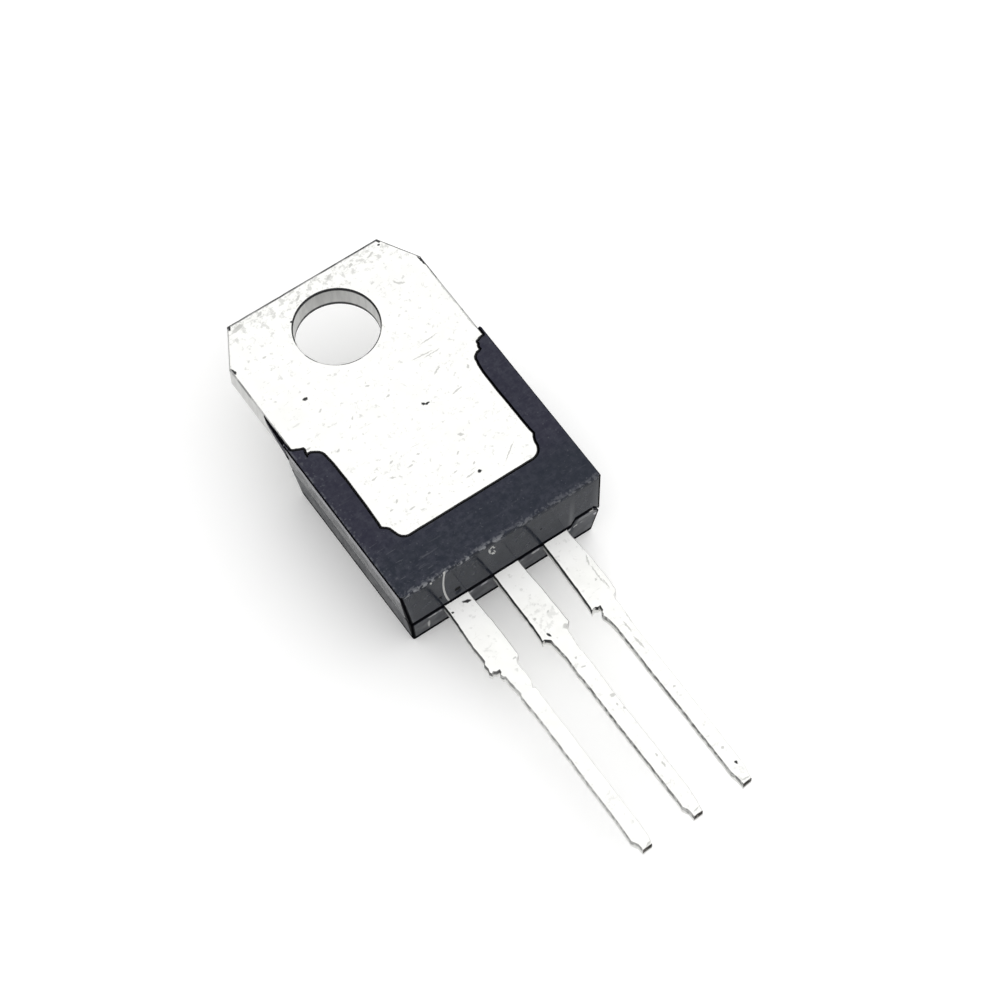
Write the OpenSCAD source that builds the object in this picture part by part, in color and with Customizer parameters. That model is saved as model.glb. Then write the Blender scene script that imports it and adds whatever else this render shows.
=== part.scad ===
// Triac in a three-lead plastic package with a metal mounting tab.
// Millimetres. +Z is the metal back, which is bolted to a heat sink, +Y points to the top of the tab,
// and the leads point along -Y. The origin is the middle of the mounting hole, on the back face.
// Heights below the back face are given as depths, measured along -Z.

/* [Tab] */
// Width of the metal tab
tab_width = 9.9; // [9.6:0.05:10.1]
// Thickness of the metal tab and of the pad that carries the chip
tab_thickness = 1.27; // [1.15:0.01:1.4]
// Centre of the mounting hole to the top edge of the tab
hole_to_top = 2.75; // [2.6:0.05:3]
// Diameter of the mounting hole
hole_diameter = 3.8; // [3.5:0.05:4]
// Chamfer round the front rim of the hole
hole_rim = 0.15; // [0.05:0.01:0.25]
// Each cut top corner, measured across the tab
corner_across = 1.07; // [0.6:0.01:1.4]
// Each cut top corner, measured along the tab
corner_along = 1.87; // [1.2:0.01:2.2]
// Bare metal from the top edge of the tab to the moulding
bare_length = 6.3; // [6.1:0.05:6.6]

/* [Pad] */
// Width of the bare pad between the side rails of the moulding
pad_width = 7.75; // [7.2:0.05:8.2]
// Moulding below the pad on the back face
pad_margin = 2.3; // [2:0.05:2.6]
// Full-width metal that the moulding grips before the pad narrows
grip_length = 0.45; // [0.3:0.05:0.6]
// Length of the curved neck where the tab narrows to the pad
neck_length = 1.45; // [1.2:0.05:1.7]
// Length of the stepped end of the pad
pad_end_length = 0.95; // [0.7:0.05:1.2]
// Step in from each side at the start of that end
pad_end_step = 0.22; // [0.1:0.02:0.4]
// Round on the two end corners of the pad
pad_end_round = 0.55; // [0.3:0.05:0.7]
// Locking ledge that runs along the pad under the moulding
ledge_width = 0.35; // [0.2:0.05:0.5]
// Depth of the locking ledge below the back face
ledge_depth = 0.6; // [0.4:0.05:0.8]

/* [Moulding] */
// How far the moulding stands out past each side of the tab, at the back face
side_cover = 0.15; // [0.05:0.01:0.25]
// Length of the moulding at the back face
body_length = 9.05; // [8.8:0.05:9.4]
// Thickness of the moulding, back face to marking face
body_thickness = 4.5; // [4.3:0.05:4.7]
// Depth of the parting line, where the two halves of the mould meet at the leads
parting_depth = 2.46; // [2.35:0.01:2.6]
// Draft of the long sides, in degrees
side_draft = 6; // [3:0.5:8]
// Draft of both ends in front of the parting line, in degrees
front_draft = 9; // [5:0.5:12]
// How far the lead end stands out at the parting line
lead_end_bulge = 0.23; // [0.1:0.01:0.3]
// How far the tab end stands out at the parting line
tab_end_bulge = 0.1; // [0.05:0.01:0.3]
// Diameter of the ejector pin mark in the marking face
ejector_diameter = 1.5; // [1:0.1:2]
// Depth of the ejector pin mark
ejector_depth = 0.06; // [0.03:0.01:0.1]
// Ejector pin mark to the tab end of the marking face
ejector_inset = 1.7; // [1.3:0.1:2.5]

/* [Leads] */
// Distance between neighbouring leads
lead_pitch = 2.54; // [2.5:0.01:2.6]
// Length of the leads outside the moulding
lead_length = 13.8; // [13:0.1:14]
// Thickness of the leads
lead_thickness = 0.5; // [0.45:0.01:0.6]
// Width of the lead shoulders where they leave the moulding
shoulder_width = 1.26; // [1.14:0.01:1.4]
// Width of the lead shoulders at their step
shoulder_end_width = 1.42; // [1.3:0.01:1.6]
// Length of the lead shoulders
shoulder_length = 3.75; // [3.5:0.05:3.95]
// Width of the leads below their step
lead_width = 0.76; // [0.61:0.01:0.88]
// Extra width left on each side of a lead by the cut at its step
root_flare = 0.09; // [0.04:0.01:0.15]
// Length over which that extra width fades out
root_length = 0.85; // [0.5:0.05:1.2]
// Length of the tapered lead tips
tip_length = 0.6; // [0.4:0.05:0.9]
// Width of the lead tips
tip_width = 0.46; // [0.35:0.01:0.58]

/* [Inside] */
// Side of the square silicon chip
chip_size = 3.2; // [2.6:0.1:3.4]
// Thickness of the silicon chip
chip_thickness = 0.25; // [0.2:0.01:0.3]
// Thickness of the solder under the chip
solder_thickness = 0.05; // [0.03:0.01:0.08]
// Solder that shows round the chip
solder_margin = 0.1; // [0.05:0.01:0.2]
// Middle of the chip to the end of the pad
chip_to_pad_end = 3.4; // [3:0.1:4]
// Width of the bonding posts of the two outer leads
post_width = 2.2; // [1.8:0.05:2.4]
// Length of the bonding posts
post_length = 1.15; // [1:0.05:1.25]
// Width of the neck between a bonding post and its lead
post_neck_width = 0.8; // [0.6:0.05:1]
// Length of that neck
post_neck_length = 0.45; // [0.35:0.05:0.6]
// Moulding between the neck and the outside, along the lead
post_cover = 0.35; // [0.25:0.05:0.5]
// Slope of the bend that takes the middle lead to the pad, in degrees
bend_slope = 60; // [45:1:70]
// Straight part of the middle lead between the pad and its bend
bend_lead_in = 0.15; // [0.1:0.05:0.3]
// Diameter of the two main bond wires
main_wire_diameter = 0.38; // [0.3:0.01:0.42]
// Diameter of the gate bond wire
gate_wire_diameter = 0.25; // [0.15:0.01:0.3]
// Height of a wire loop over the line between its two feet
wire_loop = 0.9; // [0.6:0.05:1.1]

/* [Hidden] */
$fn = 96;

// Length past a face that a cutting shape runs, so that it cuts cleanly
cut_past = 1;

// Stations along the part, from the hole towards the leads (negative Y)
tab_top_y = hole_to_top;
body_top_y = hole_to_top - bare_length;
body_end_y = body_top_y - body_length;
exit_y = body_end_y - lead_end_bulge;
neck_y = body_top_y - grip_length;
pad_end_y = body_end_y + pad_margin;
step_y = exit_y - shoulder_length;
tip_y = exit_y - lead_length;
chip_y = pad_end_y + chip_to_pad_end;

// Depths (negative Z)
lead_back_z = -parting_depth;
lead_front_z = -parting_depth - lead_thickness;
front_z = -body_thickness;
solder_z = -tab_thickness - solder_thickness;
chip_z = solder_z - chip_thickness;
front_shift = (body_thickness - parting_depth) * tan(front_draft);
body_width = tab_width + 2 * side_cover;
body_front_width = body_width - 2 * body_thickness * tan(side_draft);

// The middle lead joins the ledge at the end of the pad, level with the pad's front face
bend_shift = lead_thickness * tan(bend_slope / 2);
join_y = pad_end_y - ledge_width;
bend_top_y = join_y - bend_lead_in - bend_shift;
bend_end_y = bend_top_y - (parting_depth - tab_thickness + lead_thickness) / tan(bend_slope);

// Bonding posts
post_end_y = exit_y + post_cover + post_neck_length;
post_y = post_end_y + post_length / 2;

// Feet of the bond wires, as shares of the chip and of the post that they stand on
main_foot_a = [0.30, 0.30];
main_foot_b = [0.32, -0.12];
gate_foot = [-0.36, -0.36];
post_foot_gap = 0.4;
foot_stretch = 1.6;
foot_spread = 1.3;
foot_flat = 0.4;

// Share of a lead's root flare that is left half way along it
root_fade = 0.8;

tin = [0.88, 0.88, 0.86];
epoxy = [0.2, 0.2, 0.23];

// Half of an outline, given as points with positive X, and its mirror image as one polygon
module mirrored_outline(half) {
    count = len(half);
    polygon(concat(half, [for (i = [count - 1 : -1 : 0]) [-half[i].x, half[i].y]]));
}

// A solid from an outline of [Y, Z] points, width wide and centred on X = x
module across(x, width, outline) {
    translate([x - width / 2, 0, 0]) rotate([90, 0, 90]) linear_extrude(width) polygon(outline);
}

// The back outline of tab and pad, grown on the pad's sides and end by more
module header_outline(more) {
    side = pad_width / 2 + more;
    end_side = side - pad_end_step;
    end_y = pad_end_y - more;
    round = pad_end_round;
    mirrored_outline(concat(
        [[tab_width / 2 - corner_across, tab_top_y],
         [tab_width / 2, tab_top_y - corner_along],
         [tab_width / 2, neck_y]],
        neck_points(side),
        [[side, pad_end_y + pad_end_length], [end_side, pad_end_y + pad_end_length - pad_end_step]],
        [for (turn = [0 : 15 : 90])
            [end_side - round + round * cos(turn), end_y + round - round * sin(turn)]]));
}

// Neck from the full width of the tab to one side of the pad, a quarter of an ellipse
function neck_points(side) = [for (turn = [15 : 15 : 90])
    [tab_width / 2 + (side - tab_width / 2) * sin(turn), neck_y - neck_length * (1 - cos(turn))]];

// Half of a lead's outline outside the moulding, from the shoulder to the tip
lead_half = [
    [shoulder_width / 2, exit_y],
    [shoulder_end_width / 2, step_y],
    [lead_width / 2 + root_flare, step_y],
    [lead_width / 2 + root_flare * root_fade, step_y - root_length / 2],
    [lead_width / 2, step_y - root_length],
    [lead_width / 2, tip_y + tip_length],
    [tip_width / 2, tip_y]];

// A lead at X = x, whose outline within the moulding is half of the points inside
module lead_blade(x, inside) {
    translate([x, 0, lead_front_z]) linear_extrude(lead_thickness)
        mirrored_outline(concat(inside, lead_half));
}

module mounting_hole() {
    translate([0, 0, -tab_thickness - cut_past])
        cylinder(h = tab_thickness + 2 * cut_past, d = hole_diameter);
    translate([0, 0, -tab_thickness - cut_past])
        cylinder(h = hole_rim + cut_past, d1 = hole_diameter + 2 * (hole_rim + cut_past), d2 = hole_diameter);
}

// Tab and pad, with the ledge that locks the pad in the moulding
module header() {
    color(tin) difference() {
        union() {
            translate([0, 0, -tab_thickness]) linear_extrude(tab_thickness) header_outline(0);
            translate([0, 0, -tab_thickness]) linear_extrude(tab_thickness - ledge_depth)
                header_outline(ledge_width);
        }
        mounting_hole();
    }
}

// The middle lead, which carries on from the pad
module middle_lead() {
    color(tin) {
        across(0, shoulder_width, [
            [join_y, -tab_thickness + lead_thickness],
            [bend_top_y, -tab_thickness + lead_thickness],
            [bend_end_y, lead_back_z],
            [exit_y, lead_back_z],
            [exit_y, lead_front_z],
            [bend_end_y + bend_shift, lead_front_z],
            [bend_top_y + bend_shift, -tab_thickness],
            [join_y, -tab_thickness]]);
        lead_blade(0, [[shoulder_width / 2, exit_y + post_cover]]);
    }
}

// An outer lead, with the bonding post at its inner end and the neck that locks it in the moulding
module outer_lead(side) {
    color(tin) lead_blade(side * lead_pitch, [
        [post_width / 2, post_end_y + post_length],
        [post_width / 2, post_end_y],
        [post_neck_width / 2, post_end_y],
        [post_neck_width / 2, exit_y + post_cover],
        [shoulder_width / 2, exit_y + post_cover]]);
}

module chip() {
    color([0.35, 0.36, 0.4])
        translate([-chip_size / 2, chip_y - chip_size / 2, chip_z])
            cube([chip_size, chip_size, chip_thickness]);
}

module chip_solder() {
    size = chip_size + 2 * solder_margin;
    color([0.6, 0.6, 0.58])
        translate([-size / 2, chip_y - size / 2, solder_z])
            cube([size, size, solder_thickness]);
}

// A looped wire of diameter d between two points, bulging to the front
module wire_arc(start, end, d) {
    way = end - start;
    span = norm(way);
    bend_radius = (span * span / 4 + wire_loop * wire_loop) / (2 * wire_loop);
    half_turn = asin(span / 2 / bend_radius);
    translate(start)
        rotate([0, -atan2(way.z, norm([way.x, way.y])), atan2(way.y, way.x)])
            translate([span / 2, 0, bend_radius - wire_loop])
                rotate([90, 0, 0]) rotate([0, 0, -90 - half_turn])
                    rotate_extrude(angle = 2 * half_turn) translate([bend_radius, 0]) circle(d = d);
}

// The flattened foot of a wire, pressed on the face that lies at the height of place
module wire_foot(place, turn, d) {
    translate(place) rotate([0, 0, turn])
        translate([-foot_stretch * d / 2, -foot_spread * d / 2, -foot_flat * d])
            cube([foot_stretch * d, foot_spread * d, foot_flat * d]);
}

// A bond wire from a point on the chip to a point on a bonding post
module bond_wire(chip_foot, post_foot, d) {
    start = [chip_foot.x * chip_size, chip_y + chip_foot.y * chip_size, chip_z];
    end = [post_foot.x, post_foot.y, lead_front_z];
    turn = atan2(end.y - start.y, end.x - start.x);
    color([0.8, 0.8, 0.82]) difference() {
        union() {
            wire_arc(start, end, d);
            wire_foot(start, turn, d);
            wire_foot(end, turn, d);
        }
        translate([start.x - d, start.y - d, chip_z]) cube([2 * d, 2 * d, d]);
        translate([end.x - 2 * d, end.y - 2 * d, lead_front_z]) cube([4 * d, 4 * d, lead_thickness]);
    }
}

module wire_mt1_a() {
    bond_wire(main_foot_a, [lead_pitch + post_foot_gap, post_y], main_wire_diameter);
}

module wire_mt1_b() {
    bond_wire(main_foot_b, [lead_pitch - post_foot_gap, post_y], main_wire_diameter);
}

module wire_gate() {
    bond_wire(gate_foot, [-lead_pitch, post_y], gate_wire_diameter);
}

// Outer shape of the moulding: drafted sides, and ends that meet at the parting line
module moulding_block() {
    long = body_length + tab_end_bulge + lead_end_bulge + 2 * cut_past;
    intersection() {
        across(0, body_width + 2 * cut_past, [
            [body_top_y, 0],
            [body_top_y + tab_end_bulge, lead_back_z],
            [body_top_y + tab_end_bulge - front_shift, front_z],
            [exit_y + front_shift, front_z],
            [exit_y, lead_back_z],
            [body_end_y, 0]]);
        translate([0, body_top_y + tab_end_bulge + cut_past, 0]) rotate([90, 0, 0]) linear_extrude(long)
            mirrored_outline([[body_width / 2, 0], [body_front_width / 2, front_z]]);
    }
}

module ejector_mark() {
    front_top_y = body_top_y + tab_end_bulge - front_shift;
    translate([0, front_top_y - ejector_inset, front_z - cut_past])
        cylinder(h = ejector_depth + cut_past, d = ejector_diameter);
}

module moulding() {
    color(epoxy) difference() {
        moulding_block();
        header();
        middle_lead();
        outer_lead(1);
        outer_lead(-1);
        chip();
        chip_solder();
        wire_mt1_a();
        wire_mt1_b();
        wire_gate();
        ejector_mark();
    }
}

header();
middle_lead();  // lead_mt2
outer_lead(1);  // lead_mt1
outer_lead(-1);  // lead_gate
chip();
chip_solder();
wire_mt1_a();
wire_mt1_b();
wire_gate();
moulding();
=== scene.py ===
# %% [markdown]
# # A power switch with a metal tab
# The object is a small electronic switch, about 29 mm long, that lies face down on a white table. A block
# of charcoal resin holds a chip. A thick tinned copper tab comes out of one end, with a hole for a screw,
# and three flat leads come out of the other. The imported model gives every main shape and its place, and
# this script dresses it: pieces with rounded and torn edges, and finishes with their scratches and dirt.
# The first cell loads that model, which stays fixed. The main sizes are then read off its nodes, so that
# they are stated once, in the imported model. What lies beyond LEAD_END belongs to the face that the leads
# come out of.

# %% Load the imported model
import math

import bmesh
import bpy
from mathutils import Matrix, Vector, noise


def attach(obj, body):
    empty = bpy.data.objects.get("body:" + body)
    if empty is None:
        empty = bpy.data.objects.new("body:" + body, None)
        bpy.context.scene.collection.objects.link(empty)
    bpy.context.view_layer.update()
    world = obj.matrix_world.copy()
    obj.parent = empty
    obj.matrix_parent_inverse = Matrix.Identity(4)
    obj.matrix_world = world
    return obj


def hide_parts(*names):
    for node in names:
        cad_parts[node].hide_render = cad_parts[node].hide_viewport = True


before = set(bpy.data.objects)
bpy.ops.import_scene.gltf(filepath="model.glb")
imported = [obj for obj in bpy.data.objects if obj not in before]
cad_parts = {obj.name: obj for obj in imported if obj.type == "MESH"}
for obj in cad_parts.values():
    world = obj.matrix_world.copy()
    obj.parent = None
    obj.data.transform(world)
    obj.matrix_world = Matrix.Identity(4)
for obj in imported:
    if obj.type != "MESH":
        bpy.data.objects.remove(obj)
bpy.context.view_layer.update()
MM = 0.001
print("packed model:", sorted(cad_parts))

# %% Main sizes, in millimetres
def box(name):
    """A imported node's lowest and highest corner, to a thousandth of a millimetre."""
    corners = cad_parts[name].bound_box
    return [[round(pick(corner[axis] for corner in corners) / MM, 3) for axis in range(3)]
            for pick in (min, max)]


tab_low, tab_high = box("header")
lead_low, lead_high = box("lead_gate")
body_low, body_high = box("moulding")
TAB_HALF, TAB_TOP, TAB_THICK = tab_high[0], tab_high[1], -tab_low[2]
LEAD_HIGH, LEAD_LOW, TIP = lead_high[2], lead_low[2], lead_low[1]
BODY_HALF, EXIT, FRONT = body_high[0], body_low[1], body_low[2]
PITCH = 2.54
HOLE_RADIUS = 1.9
LEAD_END = -12.45
print("tab:", TAB_HALF, TAB_TOP, TAB_THICK, "leads:", LEAD_HIGH, LEAD_LOW, TIP)
print("moulding:", BODY_HALF, EXIT, FRONT)

# %% [markdown]
# ## Camera
# A long lens looks down on the part from the lead end, a little from the left, and is turned slightly
# about its own axis. The camera is placed by what it looks at: a target on the metal back, two angles and
# a distance. That is easier to reason about than a location and three rotations, and the matrix follows
# from three axes at right angles. The part is small, so the near clipping distance is small too.

# %% Camera
CAMERA_TARGET = Vector((0.936, -11.105, 0)) * MM
CAMERA_DISTANCE = 147.1 * MM
CAMERA_AZIMUTH = math.radians(-31.44)
CAMERA_ELEVATION = math.radians(61.63)
CAMERA_ROLL = math.radians(-3.46)

toward_camera = Vector((math.sin(CAMERA_AZIMUTH) * math.cos(CAMERA_ELEVATION),
                        -math.cos(CAMERA_AZIMUTH) * math.cos(CAMERA_ELEVATION),
                        math.sin(CAMERA_ELEVATION)))
level_right = Vector((math.cos(CAMERA_AZIMUTH), math.sin(CAMERA_AZIMUTH), 0))
level_up = toward_camera.cross(level_right)
image_right = level_right * math.cos(CAMERA_ROLL) + level_up * math.sin(CAMERA_ROLL)
image_up = toward_camera.cross(image_right)
camera = bpy.data.objects.new("camera", bpy.data.cameras.new("camera"))
bpy.context.scene.collection.objects.link(camera)
bpy.context.scene.camera = camera
turn = Matrix((image_right, image_up, toward_camera)).transposed().to_4x4()
camera.matrix_world = Matrix.Translation(CAMERA_TARGET + toward_camera * CAMERA_DISTANCE) @ turn
camera.data.sensor_width = 36
camera.data.lens = 126.2
camera.data.clip_start = 0.005
camera.data.clip_end = 10
print("camera at", [round(v / MM, 1) for v in camera.location], "mm")

# %% [markdown]
# ## Finishes as node trees
# Every finish is a Principled surface with a few procedural nodes in front of it. Two small classes save
# typing. `Nodes` makes nodes, links them and sets their sockets, and `Finish` is a material made with it.
# Patterns are laid out in the object's own space, in millimetres, so they stay on the surface from any
# side. Most of them are masks: numbers from 0 to 1 that say where a mark lies. `both` keeps what masks
# share, and `either` joins them. Colours are written as linear light.

# %% A small builder for nodes
class Nodes:
    """Short ways to add linked nodes to a node tree."""

    def __init__(self, tree):
        self.tree = tree

    def node(self, kind, inputs=None, **settings):
        made = self.tree.nodes.new("ShaderNode" + kind)
        for name, value in settings.items():
            setattr(made, name, value)
        for name, value in (inputs or {}).items():
            if isinstance(value, bpy.types.NodeSocket):
                self.tree.links.new(value, made.inputs[name])
            else:
                made.inputs[name].default_value = value
        return made

    def vector(self, operation, a, b=None, scale=None):
        inputs = {0: a}
        if b is not None:
            inputs[1] = b
        if scale is not None:
            inputs["Scale"] = scale
        return self.node("VectorMath", inputs, operation=operation).outputs[0]

    def measure(self, operation, a, b=(0, 0, 0)):
        """One number from vectors: a length or a dot product."""
        return self.node("VectorMath", {0: a, 1: b}, operation=operation).outputs["Value"]

    def math(self, operation, a, b=0.0, c=0.0):
        return self.node("Math", {0: a, 1: b, 2: c}, operation=operation).outputs[0]

    def both(self, *masks):
        """What all the masks share: their product."""
        found = masks[0]
        for mask in masks[1:]:
            found = self.math("MULTIPLY", found, mask)
        return found

    def either(self, *masks):
        """What any of the masks covers: the largest of them."""
        found = masks[0]
        for mask in masks[1:]:
            found = self.math("MAXIMUM", found, mask)
        return found

    def ramp(self, value, low, high, start=0.0, end=1.0, easing="SMOOTHSTEP"):
        """value from low to high becomes start to end, clamped and eased."""
        return self.node("MapRange", {"Value": value, "From Min": low, "From Max": high, "To Min": start,
                                      "To Max": end}, interpolation_type=easing).outputs["Result"]

    def blend(self, share, under, over):
        """The colour under, covered by the colour over by share."""
        made = self.node("Mix", {"Factor": share}, data_type="RGBA")
        for socket, colour in ((made.inputs[6], under), (made.inputs[7], over)):
            if isinstance(colour, bpy.types.NodeSocket):
                self.tree.links.new(colour, socket)
            else:
                socket.default_value = (*colour, 1)
        return made.outputs[2]

    def bump(self, height, depth, under=None):
        """A normal from a height map; depth is in millimetres."""
        inputs = {"Height": height, "Strength": 1.0, "Distance": depth * MM}
        if under is not None:
            inputs["Normal"] = under
        return self.node("Bump", inputs).outputs["Normal"]


# %% A small builder for finishes
class Finish(Nodes):
    """A material with a Principled surface; plain numbers are set on the surface's own sockets."""

    def __init__(self, name, **sockets):
        self.material = bpy.data.materials.new(name)
        self.material.use_nodes = True
        super().__init__(self.material.node_tree)
        self.surface = self.tree.nodes["Principled BSDF"]
        for socket, value in sockets.items():
            self.surface.inputs[socket.replace("_", " ")].default_value = value
        place = self.node("TexCoord").outputs["Object"]
        self.place = self.vector("SCALE", place, scale=1 / MM)
        self.x, self.y, self.z = self.node("SeparateXYZ", {0: self.place}).outputs

    def feed(self, socket, value):
        self.tree.links.new(value, self.surface.inputs[socket])

    def paint(self, colour, roughness=None, relief=None):
        """Feed what is painted, and hand over the material."""
        for socket, value in (("Base Color", colour), ("Roughness", roughness), ("Normal", relief)):
            if value is not None:
                self.feed(socket, value)
        return self.material


# %% [markdown]
# ## Patterns that the finishes share
# Handling leaves three kinds of mark on such a part: soft clouds of grain and flecks, thin scratches, and
# single spots of dirt. Clouds are plain noise. A scratch is noise that is turned and stretched until its
# blobs are hair thin. A spot is the distance from a point, measured in a turned and flattened space, with
# noise added to the place so that its edge isn't a clean ellipse.

# %% Grain, scratches and spots
def grain(finish, scale, detail=4, shift=0.0, roughness=0.55, stretch=(1, 1, 1)):
    """Noise between 0 and 1 with about scale blobs to the millimetre."""
    moved = finish.vector("ADD", finish.place, (shift, shift * 0.7, shift * 1.3))
    squeezed = finish.vector("MULTIPLY", moved, stretch)
    found = finish.node("TexNoise", {"Vector": squeezed, "Scale": scale, "Detail": detail,
                                     "Roughness": roughness})
    return found.outputs["Fac"]


def scratches(finish, degrees, across, along, share, shift=0.0):
    """Thin marks that run at an angle; across and along are blobs to the millimetre."""
    turned = finish.node("Mapping", {"Vector": finish.place, "Rotation": (0, 0, math.radians(degrees)),
                                     "Location": (shift, shift, 0), "Scale": (along, across, along)},
                         vector_type="POINT").outputs["Vector"]
    found = finish.node("TexNoise", {"Vector": turned, "Scale": 1.0, "Detail": 3.0, "Roughness": 0.6})
    return finish.ramp(found.outputs["Fac"], 0.75 - share, 0.82 - share)


def wrinkles(finish, scale, width, share, shift=0.0):
    """Short curved hairlines: the cell walls of a warped pattern, kept only in patches."""
    warp = finish.node("TexNoise", {"Vector": finish.place, "Scale": 1.6, "Detail": 3.0})
    moved = finish.vector("ADD", finish.place, finish.vector("SCALE", warp.outputs["Color"], scale=1.1))
    cells = finish.node("TexVoronoi", {"Vector": moved, "Scale": scale}, feature="DISTANCE_TO_EDGE")
    line = finish.ramp(cells.outputs["Distance"], width, width * 0.4)
    patch = finish.ramp(grain(finish, 1.3, 4, shift=shift, roughness=0.7), 0.68 - share, 0.74 - share)
    return finish.both(line, patch)


def spots(finish, marks, height, standing=False, ragged=0.12):
    """1 within marks of dirt, each (across, up, half length, half width, degrees). They lie on the level
    face at that height, or with standing on the upright end face, where up is z."""
    jitter = finish.node("TexNoise", {"Vector": finish.place, "Scale": 9.0, "Detail": 2.0})
    offset = finish.vector("SCALE", finish.vector("SUBTRACT", jitter.outputs["Color"], (0.5, 0.5, 0.5)),
                           scale=ragged)
    place = finish.vector("ADD", finish.place, offset)
    if standing:
        axes = finish.node("SeparateXYZ", {0: place})
        place = finish.node("CombineXYZ", {0: axes.outputs[0], 1: axes.outputs[2],
                                           2: axes.outputs[1]}).outputs[0]
    nearest = None
    for across, up, length, width, degrees in marks:
        flat = finish.node("Mapping", {"Vector": place, "Location": (across, up, height),
                                       "Rotation": (0, 0, math.radians(degrees)),
                                       "Scale": (length, width, 0.5)}, vector_type="TEXTURE")
        far = finish.measure("LENGTH", flat.outputs["Vector"])
        nearest = far if nearest is None else finish.math("MINIMUM", nearest, far)
    return finish.ramp(nearest, 1.25, 0.75)


# %% [markdown]
# ## Marks on the tin, one by one
# Noise can scatter flecks over the tin, but it can't put one where it belongs, so the marks that catch the
# eye are placed singly. Each row is across, up, half length and half width in millimetres, and a turn in
# degrees. The dark ones are dirt and nicks, and the grey ones are rubs.

# %% Single marks on tab and leads
TAB_DARK = [(-3.08, -2.25, 0.125, 0.09, -15), (0.92, -5.38, 0.09, 0.07, -45), (1.06, -5.44, 0.12, 0.055, 0),
            (1.02, -9.46, 0.09, 0.07, 20), (-4.87, 0.68, 0.08, 0.2, 15), (-1.47, 1.33, 0.06, 0.05, 0),
            (3.78, 2.42, 0.06, 0.05, 0), (-3.86, 2.6, 0.08, 0.13, -25), (-3.55, 2.72, 0.35, 0.03, 0),
            (-2.7, 2.725, 0.3, 0.022, 0), (-0.5, 2.72, 0.2, 0.03, 0), (3.3, 2.73, 0.7, 0.018, 0),
            (3.88, 2.6, 0.06, 0.12, 25), (4.86, 0.68, 0.045, 0.3, 6)]
TAB_GREY = [(1.37, -7.54, 0.13, 0.07, -35), (0.78, -8.2, 0.1, 0.04, 30), (0.17, -8.9, 0.08, 0.04, 0),
            (1.05, -9.0, 0.08, 0.05, 40), (0.6, -9.4, 0.22, 0.035, 5), (-1.8, -6.95, 0.1, 0.04, 20),
            (-0.63, -7.28, 0.08, 0.04, -20), (-1.2, -7.58, 0.1, 0.05, 0), (-2.8, -7.2, 0.16, 0.04, 10),
            (-2.15, -7.6, 0.15, 0.035, -30), (-2.63, -8.65, 0.09, 0.05, 30), (-3.05, -8.88, 0.09, 0.04, 0),
            (-2.3, -9.3, 0.14, 0.045, 0), (-1.3, -9.1, 0.07, 0.05, 0), (-3.3, -5.17, 0.1, 0.05, 30),
            (-4.28, -4.38, 0.09, 0.05, 0), (-1.95, -4.2, 0.1, 0.04, 40), (-0.1, -4.18, 0.1, 0.04, 20),
            (2.3, -4.33, 0.24, 0.04, 25), (2.45, -5.65, 0.28, 0.035, 10), (3.5, -4.95, 0.1, 0.05, 60),
            (2.6, -9.4, 0.5, 0.03, 37), (3.5, 0.22, 0.16, 0.05, -30), (-3.38, 0.5, 0.09, 0.05, 0),
            (-2.86, -3.1, 0.1, 0.04, 30), (-0.55, -3.25, 0.1, 0.04, -20), (-3.55, 2.4, 0.32, 0.1, 12),
            (-2.4, 2.45, 0.16, 0.07, 20), (-0.6, 2.17, 0.16, 0.06, 30), (1.1, 2.3, 0.2, 0.05, 25),
            (2.9, -2.83, 0.45, 0.03, 3), (2.2, -3.35, 0.5, 0.03, -5), (2.6, -3.5, 0.4, 0.03, 0),
            (3.35, 0.35, 0.2, 0.05, -60), (2.2, 2.25, 0.12, 0.06, 30), (3.2, 2.2, 0.2, 0.05, 20),
            (4.4, 1.84, 0.9, 0.03, -60), (4.87, -1.2, 0.03, 1.3, 0), (4.87, -2.9, 0.03, 0.6, 0)]
LEAD_DARK = [(-2.25, -13.15, 0.18, 0.075, -20), (-3.05, -13.25, 0.05, 0.04, 0),
             (-2.18, -17.93, 0.04, 0.13, -20), (-0.33, -16.45, 0.04, 0.13, 15),
             (2.61, -25.65, 0.06, 0.09, 0), (2.06, -16.85, 0.05, 0.16, 0)]
LEAD_GREY = [(0.48, -16.52, 0.13, 0.13, 0), (0.0, -18.48, 0.11, 0.035, -8), (0.24, -20.25, 0.1, 0.09, 0),
             (-0.02, -17.97, 0.05, 0.05, 0), (0.15, -20.7, 0.04, 0.06, 0), (0.3, -21.0, 0.05, 0.07, 0),
             (0.4, -17.45, 0.035, 0.33, 0), (0.26, -15.52, 0.06, 0.05, 0), (-0.4, -15.5, 0.07, 0.06, 30),
             (3.02, -14.5, 0.04, 0.25, -20), (2.96, -15.3, 0.035, 0.5, 0), (3.02, -15.85, 0.035, 0.25, 0),
             (2.77, -15.45, 0.06, 0.04, 40), (2.58, -18.0, 0.04, 0.3, 0), (2.55, -18.9, 0.05, 0.35, 5),
             (2.88, -17.8, 0.03, 0.4, 0), (-2.1, -16.5, 0.09, 0.04, 0), (0.05, -26.4, 0.16, 0.03, 15),
             (2.5, -26.45, 0.18, 0.035, -8), (-2.42, -26.5, 0.16, 0.03, 20), (0.14, -24.0, 0.05, 0.14, 0),
             (0.14, -23.5, 0.04, 0.1, 0), (2.55, -21.4, 0.06, 0.04, 0), (2.55, -24.8, 0.05, 0.06, 0)]
print("single marks on the tin:", len(TAB_DARK + TAB_GREY + LEAD_DARK + LEAD_GREY))

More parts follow.
